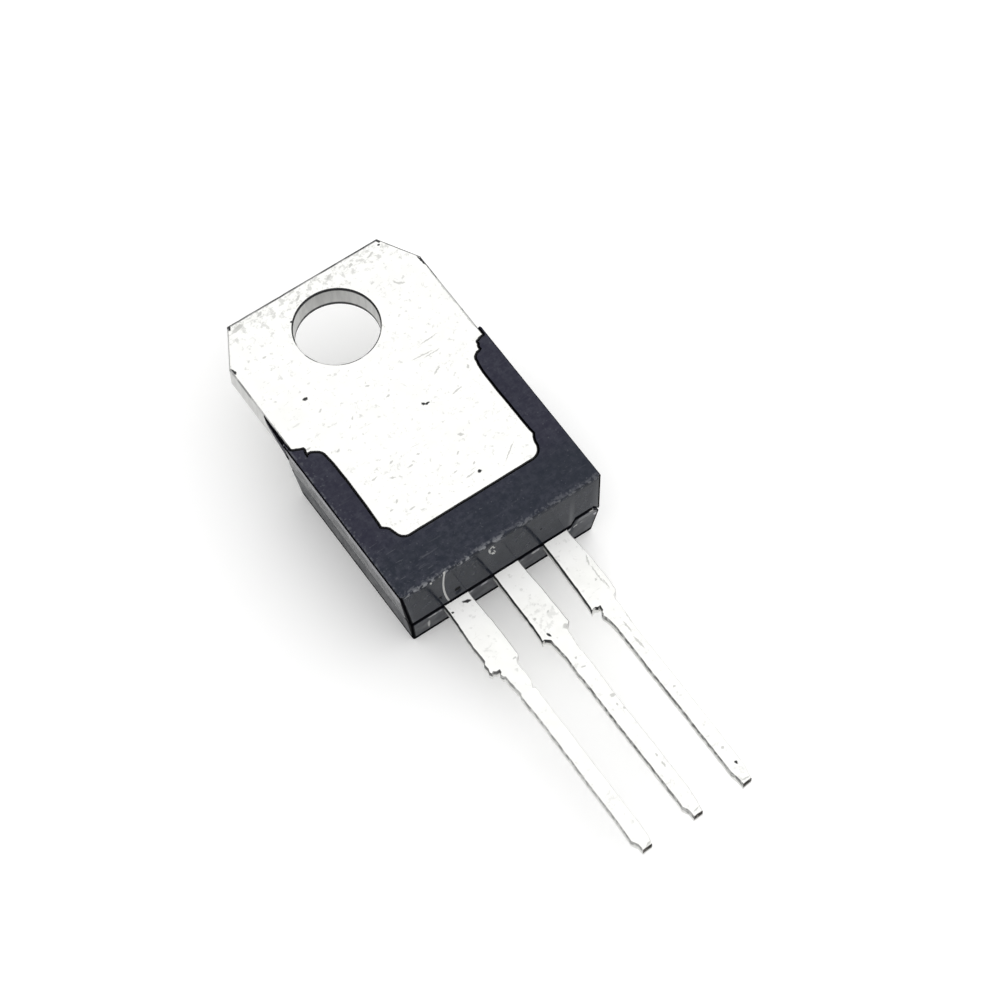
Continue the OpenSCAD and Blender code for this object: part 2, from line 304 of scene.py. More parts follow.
# %% [markdown]
# ## Tin plate
# The copper is plated with matte tin, which is a soft silver white. Its fine grain scatters light almost
# as paint does, so the surface is half metallic. The broad faces have grey flecks, faint scratches from
# other parts in the bag, and a few dark specks. Along the tab's top edge, where a punch sheared it, the
# plating is dirtier. The tab and the leads share one recipe, and only the places of the marks differ.

# %% Finish: tin plate
TIN = (0.92, 0.92, 0.895)
LIT_TIN = (0.985, 0.985, 0.97)
TIN_GREY = (0.52, 0.52, 0.50)
DIRT = (0.02, 0.02, 0.022)
EDGE_GREY = (0.05, 0.05, 0.052)
METALLIC = 0.42


def tin_plate(name, height, dark_marks, grey_marks, worn, flecks, scratched):
    """Matte tin with marks on the face at that height. worn gives a mask of where it is dirtier, and
    one each of where an edge is dark and where the tin near the resin gets painted light, or None."""
    plate = Finish(name, Metallic=METALLIC)
    dirtier, edge, exit_light = worn(plate)
    speck = plate.math("MULTIPLY_ADD", dirtier, 0.1, grain(plate, 3.4, 5, roughness=0.66))
    speck = plate.ramp(speck, 0.575, 0.69, 0, flecks)
    for degrees, shift in scratched:
        thin = scratches(plate, degrees, 6, 1.1, 0.11, shift)
        near = plate.ramp(grain(plate, 0.45, 2, shift=degrees), 0.55, 0.64, 0, 0.45)
        speck = plate.either(speck, plate.both(thin, near))
    speck = plate.either(speck, plate.both(wrinkles(plate, 2.2, 0.07, 0.1, shift=13), flecks * 0.55))
    colour = TIN
    # Painted light: near the resin the tin is whitened and made less metallic, standing in for light that
    # the end wall keeps off the leads.
    if exit_light is not None:
        plate.feed("Metallic", plate.math("MULTIPLY_ADD", exit_light, -0.4, METALLIC))
        colour = plate.blend(plate.ramp(exit_light, 0, 0.8), TIN, LIT_TIN)
    cloud = plate.ramp(grain(plate, 0.7, 3, shift=7), 0.5, 0.75, 0, 0.06)
    for mask in (cloud, speck, plate.both(spots(plate, grey_marks, height), 0.8)):
        colour = plate.blend(mask, colour, TIN_GREY)
    if edge is not None:
        colour = plate.blend(edge, colour, EDGE_GREY)
    colour = plate.blend(spots(plate, dark_marks, height), colour, DIRT)
    roughness = plate.ramp(grain(plate, 2.5, 4, shift=2), 0.35, 0.65, 0.44, 0.6)
    waves = plate.bump(grain(plate, 0.9, 3, shift=4), 0.012)
    return plate.paint(colour, roughness, plate.bump(grain(plate, 14, 2), 0.0015, waves))


def tab_wear(plate):
    """A dirtier band towards the tab's top, and a dark line along that edge itself."""
    uneven = plate.ramp(grain(plate, 1.1, 4, shift=12), 0.35, 0.6, 0.55, 1.0)
    return plate.ramp(plate.y, 1.1, 2.5), plate.both(plate.ramp(plate.y, 2.61, 2.67), uneven), None


def lead_wear(plate):
    """A rubbed patch on the middle lead's shoulder. Close to the resin the tin is painted white and made
    hardly metallic: painted light where the end wall shades the leads."""
    middle = plate.ramp(plate.math("ABSOLUTE", plate.x), 0.6, 0.4)
    band = plate.ramp(plate.math("ABSOLUTE", plate.math("ADD", plate.y, 15.4)), 1.1, 0.6)
    return plate.both(middle, band, 0.9), None, plate.ramp(plate.y, -15.2, -13.2)


tab_tin = tin_plate("tab_tin", 0.0, TAB_DARK, TAB_GREY, tab_wear, 0.62, ((28, 3), (-24, 11), (63, 5)))
lead_tin = tin_plate("lead_tin", LEAD_HIGH, LEAD_DARK, LEAD_GREY, lead_wear, 0.4, ((75, 4),))
print("finishes:", tab_tin.name, lead_tin.name)

# %% [markdown]
# ## Sheared edges
# Tab and leads are punched out of strip. A punched side has two zones: a smooth burnished one, and a rough
# torn one that turns dark. On the leads the torn zone is the upper half, and its dark is also painted
# shade:
# it is kept to the sides that face left, away from the light, and to the shoulders by the resin, so from
# above each lead has a dark, ragged line beside a paler one. On the tab the side is pale, and only its rim
# is dark, most of all round the hole and where resin meets the metal, where that dark is painted shade from
# the groove.
# The masks go by height, broken up by noise, and on the leads also by which way a side faces.

# %% Finish: the tab's sides and its hole
BURNISHED = (0.70, 0.70, 0.685)
TORN = (0.035, 0.035, 0.037)


def sheared_tab():
    """Pale, with a dark line on some of the rims; round the pad's window that line is painted shade from
    the groove beside it.
    """
    side = Finish("sheared_tab", Metallic=0.8)
    back_rim = side.ramp(side.z, -0.16, -0.09)
    front_rim = side.ramp(side.z, 0.26 - TAB_THICK, 0.18 - TAB_THICK)
    from_hole = side.measure("LENGTH", side.vector("MULTIPLY", side.place, (1, 1, 0)))
    hole = side.both(side.ramp(from_hole, HOLE_RADIUS + 0.3, HOLE_RADIUS + 0.2),
                     side.ramp(side.measure("DOT_PRODUCT", side.place, (0.52, 0.85, 0)), -0.9, 0.3))
    # Painted shade: the rim is darkened round the pad's window, where the groove in the resin lies in
    # shade.
    window = side.ramp(side.y, -3.3, -3.9)
    top = side.ramp(side.y, 2.6, 2.66, 0, 0.9)
    right = side.both(side.ramp(side.x, 4.7, 4.85), side.ramp(side.y, 0.2, 0.4, 0.45, 1.0))
    patches = side.both(side.ramp(grain(side, 0.9, 4, shift=1), 0.4, 0.52, 0.1, 1.0),
                        side.either(side.ramp(side.x, -3.95, -3.8, 0.1, 1.0),
                                    side.ramp(side.y, 0.95, 0.8, 0, 0.5)))
    dark = side.either(side.both(back_rim, side.either(hole, window, top, right, patches)),
                       side.both(front_rim, hole))
    streaky = grain(side, 3, 3, stretch=(2, 2, 0.3))
    pale = side.blend(side.ramp(streaky, 0.35, 0.7), BURNISHED, (0.64, 0.64, 0.63))
    return side.paint(side.blend(dark, pale, TORN), side.ramp(streaky, 0.3, 0.7, 0.5, 0.6),
                      side.bump(streaky, 0.0012))


tab_side = sheared_tab()
print("finish:", tab_side.name)

# %% Finishes: the leads' sides and tips
def sheared_lead():
    """The leads' sides: torn above and burnished below. The torn zone is painted dark only where it faces
    left or lies on a shoulder, as painted shade. The gate's side is the palest.
    """
    side = Finish("sheared_lead", Metallic=0.8)
    wavy = side.math("MULTIPLY_ADD", grain(side, 3.5, 4), 0.34, side.z)
    blade = side.ramp(side.y, -16.5, -17.3, 0, 0.22)
    gate = side.both(side.ramp(side.x, -1.6, -1.9), side.ramp(side.y, -13.6, -15.2, 0, 0.2))
    torn_and_shade_share = side.math("SUBTRACT", 1.0, side.math("ADD", blade, gate))
    gaps = side.either(side.ramp(grain(side, 4.6, 3, shift=3), 0.4, 0.58, 0.42, 1.0),
                       side.ramp(side.y, -17.2, -16.6))
    # Painted shade: the dark torn zone is kept to sides that face left, away from the light, and to the
    # shoulders near the resin.
    shoulder = side.both(side.ramp(side.y, -16.7, -16.3, 0.15, 0.6), side.ramp(side.x, 2.0, 1.0, 0.4, 1.0))
    axes = side.node("SeparateXYZ", {0: side.node("NewGeometry").outputs["Normal"]})
    facing = side.either(side.ramp(axes.outputs[0], 0.3, -0.1), shoulder)
    dark = side.both(side.ramp(wavy, LEAD_HIGH - 0.13, LEAD_HIGH - 0.02), torn_and_shade_share, gaps, facing)
    speckle = side.ramp(grain(side, 7, 3, shift=5), 0.5, 0.66, 0, 0.4)
    pale = side.blend(speckle, (0.8, 0.8, 0.78), (0.5, 0.5, 0.49))
    return side.paint(side.blend(dark, pale, TORN), side.ramp(dark, 0, 1, 0.45, 0.7),
                      side.bump(grain(side, 6, 4), 0.02))


def cut_tip():
    """The ends of the leads, cut after plating: bare dark copper, smeared with tin at the rim."""
    end = Finish("cut_tip", Metallic=0.9)
    smear = end.ramp(grain(end, 6, 3, shift=9), 0.5, 0.7)
    dark = end.blend(smear, (0.03, 0.027, 0.025), (0.2, 0.18, 0.16))
    wavy = end.math("MULTIPLY_ADD", grain(end, 4, 3), 0.12, end.z)
    colour = end.blend(end.ramp(wavy, LEAD_HIGH - 0.2, LEAD_HIGH - 0.3), dark, BURNISHED)
    return end.paint(colour, end.ramp(smear, 0, 1, 0.7, 0.45), end.bump(grain(end, 8, 3), 0.02))


lead_side = sheared_lead()
tip_face = cut_tip()
print("finishes:", lead_side.name, tip_face.name)

# %% [markdown]
# ## Moulding resin
# The resin is a charcoal epoxy, a little blue, full of glass powder. The mould's ground plates leave the
# broad faces matte, with faint drag marks. Its drafted walls are polished, so the sides are semi-gloss,
# and the end wall mirrors the tops of the leads. Rims and grooves are painted near black and reflect
# nothing
# at all: painted shade in the grooves and along the front rim, and a dark line on the other rims. So there
# are three finishes. Their specular levels are constants on the shader's own sockets, and only colour,
# roughness and relief are painted.

# %% Finishes: matte and bare resin
RESIN = (0.0095, 0.0095, 0.025)
RESIN_BLUE = (0.006, 0.010, 0.021)
RESIN_PALE = (0.055, 0.058, 0.072)


def matte_resin():
    """The broad faces, from ground mould plates."""
    face = Finish("resin_matte", Specular_IOR_Level=0.3)
    colour = face.blend(face.ramp(face.y, -9.4, -11.2), RESIN, RESIN_BLUE)
    cloud = face.both(face.ramp(grain(face, 3.2, 6, roughness=0.72), 0.4, 0.64, 0, 0.62),
                      face.ramp(grain(face, 0.55, 3, shift=5), 0.35, 0.65, 0.45, 1.0))
    colour = face.blend(cloud, colour, (0.036, 0.038, 0.056))
    drag = face.both(scratches(face, 33, 8, 1.0, 0.15),
                     face.ramp(face.math("ADD", face.x, face.y), -12.5, -15.5, 0.2, 0.95))
    colour = face.blend(drag, colour, RESIN_PALE)
    edges = face.either(face.ramp(face.x, -4.3, -5.0, 0, 0.06), face.ramp(face.y, -12.2, -12.5, 0, 0.16))
    dust = face.math("ADD", grain(face, 7, 3, shift=8), edges)
    colour = face.blend(face.ramp(dust, 0.64, 0.72, 0, 0.8), colour, RESIN_PALE)
    rim = face.either(face.ramp(face.y, -12.36, -12.5), face.ramp(face.x, -4.93, -5.0, 0, 0.6))
    rim = face.both(rim, face.ramp(grain(face, 5.5, 4, shift=2), 0.47, 0.6),
                    face.ramp(face.x, 2.0, -1.0, 0.45, 1.0), 0.75)
    colour = face.blend(rim, colour, (0.14, 0.145, 0.16))
    fine = face.bump(grain(face, 16, 3), 0.004)
    return face.paint(colour, face.ramp(grain(face, 3, 4, shift=3), 0.3, 0.7, 0.5, 0.66),
                      face.bump(grain(face, 0.6, 2, shift=6), 0.02, fine))


def black_shade_resin():
    """Rims and grooves painted near black with no reflection: painted shade in the grooves and along the
    front rim, where the part meets its shadow on the table, and a dark line on the back rims and corners.
    """
    rim = Finish("resin_black_shade", Specular_IOR_Level=0.0, Roughness=0.9)
    specks = rim.ramp(grain(rim, 8, 3), 0.55, 0.7, 0, 0.6)
    return rim.paint(rim.blend(specks, (0.003, 0.003, 0.004), (0.015, 0.015, 0.02)),
                     relief=rim.bump(grain(rim, 7, 4), 0.01))


resin_matte = matte_resin()
resin_black_shade = black_shade_resin()
print("finishes:", resin_matte.name, resin_black_shade.name)

# %% [markdown]
# ## The polished walls
# Two of these walls tell how the part was handled. The upper strip of the left one is painted pale, partly
# a scuff where it slid along others and partly a painted reflection of the bright table, and the lead end
# has a curved hair, a few chips and dark specks. Each is a helper of its own that gives masks, and the
# finish lays the colours over one another. The pale strip and the marks are also rougher, so they don't
# mirror.

# %% Marks on the walls
END_FACE = -12.7
END_PALE = [(-0.66, -0.5, 0.045, 0.2, 6), (-0.56, -0.3, 0.1, 0.035, 30), (-0.44, -0.36, 0.035, 0.09, 20),
            (-0.52, -0.78, 0.13, 0.04, -50), (-0.42, -0.7, 0.035, 0.12, 15), (-2.88, 0.0, 0.045, 0.14, -20),
            (1.42, -2.7, 0.13, 0.07, -40), (-3.75, -2.64, 0.3, 0.05, -8), (3.62, -2.74, 0.12, 0.06, 30),
            (-3.9, -3.45, 0.05, 0.42, 4), (4.45, -2.13, 0.14, 0.03, 0), (-3.6, -0.16, 0.05, 0.06, 0)]
END_DARK = [(-2.42, -1.73, 0.16, 0.12, 0), (-3.27, -1.6, 0.06, 0.06, 0), (1.9, -1.2, 0.05, 0.05, 0)]


def scuff_and_sheen_strip(wall, left):
    """The upper strip of the left wall, streaked along its length: partly a scuff, partly a painted
    reflection of the bright table.
    """
    upper = wall.math("MULTIPLY_ADD", grain(wall, 2, 3, shift=6, stretch=(1, 0.5, 1)), 0.8, wall.z)
    streaks = grain(wall, 4, 5, shift=4, roughness=0.65, stretch=(1, 0.35, 1.4))
    return wall.both(left, wall.ramp(upper, -0.65, -0.2), wall.ramp(streaks, 0.3, 0.66, 0.25, 1.0))


def end_marks(wall, end):
    """The pale and the dark marks on the lead end: a hair and chips, and specks and corner lines."""
    bow = wall.math("POWER", wall.math("ADD", wall.z, 1.15), 2.0)
    line = wall.math("ABSOLUTE", wall.math("MULTIPLY_ADD", bow, -0.13, wall.math("ADD", wall.x, 3.05)))
    hair = wall.both(wall.ramp(line, 0.055, 0.035), wall.ramp(wall.z, -2.3, -2.1))
    pale = wall.either(hair, spots(wall, END_PALE, END_FACE, standing=True, ragged=0.16))
    across = wall.math("MULTIPLY_ADD", wall.z, -0.105, wall.math("ABSOLUTE", wall.x))
    dark = wall.either(spots(wall, END_DARK, END_FACE, standing=True), wall.ramp(across, 4.94, 5.0))
    return wall.both(pale, end), wall.both(dark, end)


print("single marks on the lead end:", len(END_PALE + END_DARK))

# %% Finish: polished resin
def polished_resin():
    """The drafted walls: semi-gloss, with broken rims and the marks above."""
    wall = Finish("resin_polished", Specular_IOR_Level=0.22)
    end = wall.ramp(wall.y, LEAD_END + 0.05, LEAD_END - 0.05)
    left = wall.both(wall.ramp(wall.x, -4.7, -4.8), wall.ramp(wall.y, -12.6, -12.4),
                     wall.ramp(wall.y, -3.5, -3.9))
    cloud = wall.ramp(grain(wall, 2.2, 5, roughness=0.62), 0.35, 0.7, 0, 0.6)
    rim = wall.both(wall.ramp(wall.z, -0.18, -0.06), wall.ramp(grain(wall, 5.5, 4, shift=2), 0.48, 0.62),
                    wall.ramp(wall.x, 2.0, -1.0, 0.45, 1.0), 0.85)
    below_seam = wall.math("ABSOLUTE", wall.math("SUBTRACT", wall.z, LEAD_HIGH - 0.2))
    lip = wall.both(wall.ramp(below_seam, 0.14, 0.08),
                    wall.ramp(grain(wall, 1.9, 4, shift=11), 0.48, 0.6), end, 0.8)
    # Painted reflection: the left wall's pale upper strip stands partly for a scuff and partly for the
    # bright table mirrored at a grazing angle.
    scuff_and_sheen = scuff_and_sheen_strip(wall, left)
    pale, dark = end_marks(wall, end)
    colour = wall.blend(cloud, (0.010, 0.0125, 0.019), (0.026, 0.030, 0.040))
    for mask, over in ((rim, (0.2, 0.205, 0.22)), (lip, (0.4, 0.4, 0.42)),
                       (wall.both(scuff_and_sheen, 0.85), (0.56, 0.56, 0.585)),
                       (wall.both(pale, 0.9), (0.45, 0.45, 0.44)), (dark, (0.004, 0.004, 0.004))):
        colour = wall.blend(mask, colour, over)
    foot = wall.both(left, wall.ramp(wall.z, -3.5, -4.1, 0.25, 1.0))
    lower = wall.ramp(wall.z, LEAD_HIGH + 0.05, LEAD_HIGH - 0.05, 0, 0.5)
    smooth = wall.ramp(grain(wall, 1.7, 4, shift=9), 0.3, 0.7, 0.07, 0.2)
    smooth = wall.math("MULTIPLY_ADD", dark, 0.5, smooth)
    roughness = wall.math("MULTIPLY_ADD", wall.either(scuff_and_sheen, dark, pale, foot, lower), 0.5, smooth)
    fine = wall.bump(grain(wall, 9, 3), 0.0012)
    return wall.paint(colour, roughness, wall.bump(grain(wall, 1.2, 2, shift=6), 0.006, fine))


resin_polished = polished_resin()
print("finish:", resin_polished.name)

# %% [markdown]
# ## Finishes inside the resin
# The chip, its solder and the wires can't be seen, but a part that is taken apart or cut open needs them
# finished. The chip is silicon under a thin skin of evaporated metal, the solder is a dull high-lead
# alloy, and the wires are drawn aluminium with fine lines along them.

# %% Finishes: chip, solder and wires
def silicon_skin():
    skin = Finish("chip_silicon", Metallic=0.7)
    patches = grain(skin, 1.5, 3)
    return skin.paint(skin.blend(skin.ramp(patches, 0.4, 0.6), (0.12, 0.13, 0.16), (0.19, 0.19, 0.2)),
                      skin.ramp(patches, 0.3, 0.7, 0.15, 0.3))


def dull_solder():
    solder = Finish("lead_solder", Metallic=0.9)
    grains = grain(solder, 7, 4)
    crust = solder.blend(solder.ramp(grains, 0.4, 0.65), (0.42, 0.42, 0.4), (0.25, 0.25, 0.24))
    return solder.paint(crust, solder.ramp(grains, 0.3, 0.7, 0.4, 0.65), solder.bump(grains, 0.01))


def drawn_wire():
    wire = Finish("drawn_aluminium", Metallic=1.0)
    lines = grain(wire, 4, 3, stretch=(6, 0.5, 6))
    return wire.paint(wire.blend(wire.ramp(lines, 0.35, 0.7), (0.86, 0.86, 0.88), (0.62, 0.62, 0.64)),
                      wire.ramp(lines, 0.3, 0.7, 0.2, 0.4), wire.bump(lines, 0.004))


inside = {"chip": silicon_skin(), "chip_solder": dull_solder()}
for name in ("wire_mt1_a", "wire_mt1_b", "wire_gate"):
    inside[name] = drawn_wire()
for name, material in inside.items():
    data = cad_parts[name].data
    data.materials.clear()
    data.materials.append(material)
print("finished inside:", ", ".join(inside))

# %% [markdown]
# ## Millimetres in, metres out
# The pieces are drawn in millimetres, because a maker thinks of a 0.5 mm lead and a 0.03 mm edge, and
# because cutting works better on numbers near one. `into_place` does what every finished piece needs: it
# merges stray points, smooths across edges below 40 degrees with normals that keep the flat faces flat,
# scales to metres, and tells the frame which body and node the piece stands for.

# %% Helpers that make an object and put it into place
def solid(name, mesh, materials):
    """An object, in millimetres, from a bmesh; materials fill its slots in order."""
    bmesh.ops.recalc_face_normals(mesh, faces=mesh.faces)
    data = bpy.data.meshes.new(name)
    mesh.to_mesh(data)
    mesh.free()
    for material in materials:
        data.materials.append(material)
    made = bpy.data.objects.new(name, data)
    bpy.context.scene.collection.objects.link(made)
    return made


def freeze(piece):
    """The piece's modifiers become part of its mesh."""
    graph = bpy.context.evaluated_depsgraph_get()
    data = bpy.data.meshes.new_from_object(piece.evaluated_get(graph))
    piece.modifiers.clear()
    piece.data = data


def join(piece, other, operation="UNION"):
    """Join another shape to the piece, or cut it out, and throw the other away."""
    step = piece.modifiers.new("join", "BOOLEAN")
    step.object = other
    step.operation = operation
    step.solver = "EXACT"
    freeze(piece)
    bpy.data.objects.remove(other)


def twin(piece, scale=1.0):
    """A copy of a shape, to cut with."""
    made = bpy.data.objects.new("cutter", piece.data.copy())
    made.data.transform(Matrix.Scale(scale, 4))
    bpy.context.scene.collection.objects.link(made)
    return made


def into_place(piece, nodes=(), smooth=40):
    """Clean and scale a finished piece, and tell the frame what it is."""
    mesh = bmesh.new()
    mesh.from_mesh(piece.data)
    bmesh.ops.remove_doubles(mesh, verts=mesh.verts, dist=0.0005)
    bmesh.ops.dissolve_degenerate(mesh, edges=mesh.edges, dist=0.0005)
    bmesh.ops.dissolve_limit(mesh, angle_limit=math.radians(0.1), verts=mesh.verts, edges=mesh.edges,
                             delimit={"MATERIAL"})
    open_edges = sum(1 for edge in mesh.edges if not edge.is_manifold)
    mesh.to_mesh(piece.data)
    mesh.free()
    piece.data.transform(Matrix.Scale(MM, 4))
    piece.data.polygons.foreach_set("use_smooth", [True] * len(piece.data.polygons))
    piece.data.set_sharp_from_angle(angle=math.radians(smooth))
    flatter = piece.modifiers.new("flat faces", "WEIGHTED_NORMAL")
    flatter.keep_sharp = True
    freeze(piece)
    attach(piece, "root")
    if nodes:
        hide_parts(*nodes)
    print(piece.name, "has", len(piece.data.polygons), "faces and", open_edges, "open edges")


# %% [markdown]
# ## Flat blanks
# Everything metal here is cut from flat strip, so one helper makes it all: outlines become a closed blank
# between two heights, with rims rounded by a few hundredths of a millimetre. Each outline is inset for the
# rounding and bridged level by level, and flat caps close it. A bevel modifier would round the same
# edges, but it tangles where a torn outline has steps smaller than the bevel.

# %% Outlines and blanks
def inset(outline, by):
    """The outline moved inwards by that much; it runs anticlockwise."""
    moved = []
    count = len(outline)
    for i in range(count):
        here = Vector(outline[i])
        before = (here - Vector(outline[i - 1])).normalized()
        after = (Vector(outline[(i + 1) % count]) - here).normalized()
        left = Vector((-before.y - after.y, before.x + after.x))
        moved.append(here + left * (by / max(0.35, 1 + before.dot(after))))
    return moved


def bridge(mesh, lower, upper, material=0):
    """Side faces between two rings that have equally many points."""
    for i in range(len(lower)):
        j = (i + 1) % len(lower)
        face = mesh.faces.new((lower[i], lower[j], upper[j], upper[i]))
        face.material_index = material


def circle(radius, count, centre=(0, 0)):
    """The outline of a round hole or pin."""
    return [(centre[0] + radius * math.cos(math.tau * i / count),
             centre[1] + radius * math.sin(math.tau * i / count)) for i in range(count)]


def ring(mesh, outline, height):
    """An outline's points, placed in the mesh at one height."""
    return [mesh.verts.new((p[0], p[1], height)) for p in outline]


def cap(mesh, rings, material=0):
    """A flat face within the first ring, with the other rings as holes."""
    edges = []
    for loop in rings:
        for i in range(len(loop)):
            edges.append(mesh.edges.get((loop[i - 1], loop[i])))
    filled = bmesh.ops.triangle_fill(mesh, edges=edges, use_beauty=True)
    for face in filled["geom"]:
        if isinstance(face, bmesh.types.BMFace):
            face.material_index = material


def stack(mesh, rings, material=0):
    """Walls from ring to ring, closed with a flat face at each end."""
    for lower, upper in zip(rings, rings[1:]):
        bridge(mesh, lower, upper, material)
    cap(mesh, [rings[0]], material)
    cap(mesh, [rings[-1]], material)


def rim_levels(high, low, high_edge, low_edge, steps=3):
    """Levels from low to high as (inset, height), with both rims rounded."""
    levels = []
    for step in range(steps + 1):
        turn = math.radians(90) * step / steps
        levels.append((low_edge * (1 - math.sin(turn)), low + low_edge * (1 - math.cos(turn))))
    for step in range(steps, -1, -1):
        turn = math.radians(90) * step / steps
        levels.append((high_edge * (1 - math.sin(turn)), high - high_edge * (1 - math.cos(turn))))
    return levels


def blank(outlines, high, low, high_edge=0.03, low_edge=0.03, side=1):
    """A flat blank. The first outline is its rim and the others are holes; side is its sides' slot."""
    mesh = bmesh.new()
    tops = []
    bottoms = []
    for number, outline in enumerate(outlines):
        sign = 1 if number == 0 else -1
        levels = rim_levels(high, low, high_edge, low_edge)
        rings = [ring(mesh, inset(outline, sign * by), height) for by, height in levels]
        for lower, upper in zip(rings, rings[1:]):
            bridge(mesh, lower, upper, side)
        bottoms.append(rings[0])
        tops.append(rings[-1])
    cap(mesh, tops)
    cap(mesh, bottoms)
    return mesh


def torn(outline, step, size):
    """The outline with extra points about every step mm, each pushed inwards at random by up to size."""
    points = []
    for i, corner in enumerate(outline):
        start, end = Vector(corner), Vector(outline[(i + 1) % len(outline)])
        count = max(1, round((end - start).length / step))
        ahead = (end - start).normalized()
        inwards = Vector((-ahead.y, ahead.x))
        for k in range(count):
            point = start.lerp(end, k / count)
            push = abs(noise.noise(Vector((point.x * 2.9, point.y * 2.9, 0.5)))) if k else 0
            points.append(point + inwards * push * size)
    return points


# %% [markdown]
# ## Tab and pad
# This is the thick end of the stamping: the tab with its screw hole, and the pad that carries the chip and
# shows through a window in the resin. The window's edge isn't a straight cut, because liquid resin crept
# over the rim of the metal and stopped where it pleased, so this outline is drawn point by point, and each
# point is a turn of that edge. Straight stretches have no points of their own. Behind the window a
# thinner ledge holds the pad in the resin.

# %% Outline: the tab and its window
WINDOW_RIGHT = [(4.93, -4.02), (4.7, -4.05), (4.62, -4.1), (4.53, -4.12), (4.5, -4.17), (4.5, -4.26),
                (4.44, -4.34), (4.41, -4.44), (4.42, -4.52), (4.33, -4.57), (4.23, -4.58), (4.12, -4.65),
                (4.03, -4.72), (3.98, -4.82), (3.96, -4.97), (3.92, -5.12), (3.88, -5.5), (3.87, -6.2),
                (3.9, -9.0), (3.93, -9.27), (3.83, -9.42), (3.77, -9.56), (3.735, -9.7), (3.72, -9.85),
                (3.65, -10.0), (3.56, -10.12), (3.45, -10.2), (3.33, -10.255), (3.18, -10.285)]
WINDOW_LEFT = [(-3.1, -10.275), (-3.25, -10.23), (-3.4, -10.12), (-3.47, -10.0), (-3.52, -9.85),
               (-3.57, -9.68), (-3.6, -9.56), (-3.68, -9.46), (-3.78, -9.38), (-3.87, -9.29),
               (-3.85, -9.1), (-3.83, -8.5), (-3.8, -6.8), (-3.83, -5.5), (-3.86, -5.2), (-3.88, -5.0),
               (-3.93, -4.86), (-4.02, -4.75), (-4.16, -4.65), (-4.3, -4.565), (-4.41, -4.55),
               (-4.5, -4.6), (-4.485, -4.45), (-4.44, -4.32), (-4.46, -4.23), (-4.6, -4.18),
               (-4.74, -4.1), (-4.85, -4.06), (-4.93, -4.0)]
TAB_CORNERS = [(-TAB_HALF, -3.98), (-TAB_HALF, 0.88), (-3.88, TAB_TOP), (3.88, TAB_TOP), (TAB_HALF, 0.88),
               (TAB_HALF, -4.0)]
tab_outline = torn((TAB_CORNERS + WINDOW_RIGHT + WINDOW_LEFT)[::-1], 0.3, 0.018)
print("tab outline has", len(tab_outline), "points")

# %% Piece: tab and pad
TAB_EDGE = 0.06
outlines = [tab_outline, circle(HOLE_RADIUS, 96)]
tab = solid("tab_and_pad", blank(outlines, 0, -TAB_THICK, TAB_EDGE, TAB_EDGE), [tab_tin, tab_side])

LEDGE_HALF = [(4.225, -9.35), (4.2, -5.6), (3.5, -5.2)]
LEDGE_END = [(3.45, -10.65), (3.85, -10.45), (4.0, -10.1), (4.0, -9.6)]
ledge_half = LEDGE_END + LEDGE_HALF
ledge_outline = ledge_half + [(-x, y) for x, y in ledge_half[::-1]]
LEDGE_HIGH = -0.6
LEDGE_LOW = 0.005 - TAB_THICK
join(tab, solid("ledge", blank([ledge_outline], LEDGE_HIGH, LEDGE_LOW, 0.02, 0.02), [tab_tin, tab_side]))
print("tab, pad and ledge:", len(tab.data.polygons), "faces")

# %% [markdown]
# ## Leads
# Each lead has a wide shoulder that stops it in a board's hole, then a narrow blade with a cut tip. The
# three are held together by a bar until it is punched away, and each cut leaves its own nicks, so the
# leads aren't copies of one another: their edges are drawn singly, down the left and up the right. The
# outer leads end inside the resin in a bonding post, and the middle one bends up to the pad.

# %% Piece outlines: leads
LEAD_LEFT = {
    "lead_gate": [(-3.17, EXIT), (-3.18, -13.4), (-3.27, -15.1), (-3.24, -15.9), (-3.34, -16.03),
                  (-3.32, -16.28), (-3.37, -16.45), (-3.31, -16.6), (-3.2, -16.52), (-3.1, -16.6),
                  (-2.95, -16.6), (-2.96, -16.7), (-3.05, -16.8), (-3.01, -16.94), (-2.92, -17.0),
                  (-2.93, -17.3), (-2.88, -17.75), (-2.84, -17.98), (-2.91, -18.1), (-2.91, -18.6),
                  (-2.88, -19.2), (-2.91, -22.8), (-2.92, -25.2), (-2.96, -26.02), (-2.8, -26.3),
                  (-2.78, TIP)],
    "lead_mt2": [(-0.65, EXIT), (-0.68, -15.5), (-0.7, -16.3), (-0.75, -16.58), (-0.62, -16.55),
                 (-0.49, -16.65), (-0.42, -16.72), (-0.41, -17.0), (-0.38, -17.4), (-0.35, -17.6),
                 (-0.38, -18.6), (-0.36, -19.2), (-0.37, -21.5), (-0.36, -25.0), (-0.37, -26.0),
                 (-0.24, -26.25), (-0.22, TIP)],
    "lead_mt1": [(1.91, EXIT), (1.89, -14.1), (1.83, -15.8), (1.8, -16.4), (1.76, -16.62), (1.89, -16.54),
                 (2.0, -16.53), (2.09, -16.6), (2.19, -16.58), (2.17, -16.78), (2.06, -16.88),
                 (2.03, -17.0), (2.1, -17.2), (2.16, -17.6), (2.18, -18.9), (2.16, -20.0), (2.18, -22.4),
                 (2.16, -23.6), (2.17, -25.9), (2.23, -26.2), (2.26, TIP)],
}
